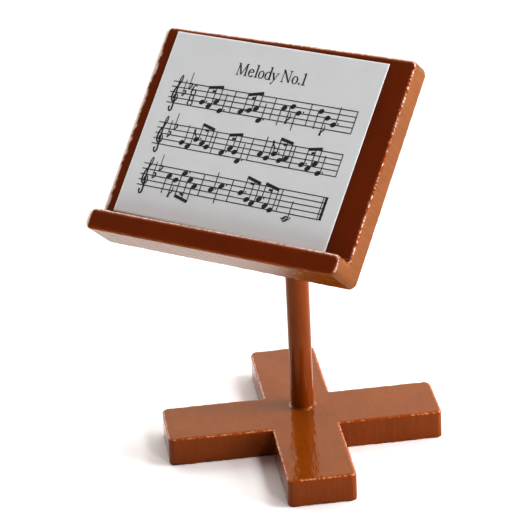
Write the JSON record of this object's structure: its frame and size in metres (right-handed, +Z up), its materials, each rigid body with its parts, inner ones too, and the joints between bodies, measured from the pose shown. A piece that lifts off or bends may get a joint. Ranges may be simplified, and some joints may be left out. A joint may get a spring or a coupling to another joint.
{
  "type": "miniature music stand",
  "caption": "Small painted wooden music stand: a leaning desk with a ledge and a printed sheet, on a round post over a cross-shaped base.",
  "frame": {"origin": "centre of the cross's underside, on the surface that the stand rests on", "axes": "+Z up along the post; -Y the side that the desk faces; +X to the desk's right as its reader sees it; the cross's arms lie on the diagonals of X and Y"},
  "size_m": [0.0517, 0.045, 0.0717],
  "materials": {
    "brown_enamel": "gloss",
    "printed_paper": "matte",
    "painted_glue": "gloss"
  },
  "bodies": {
    "root": {"base_cross": "brown_enamel", "post": "brown_enamel", "desk_board": "brown_enamel", "desk_ledge": "brown_enamel", "music_sheet": "printed_paper", "foot_glue_bead": "painted_glue", "desk_glue_bead": "painted_glue"}
  },
  "joints": []
}
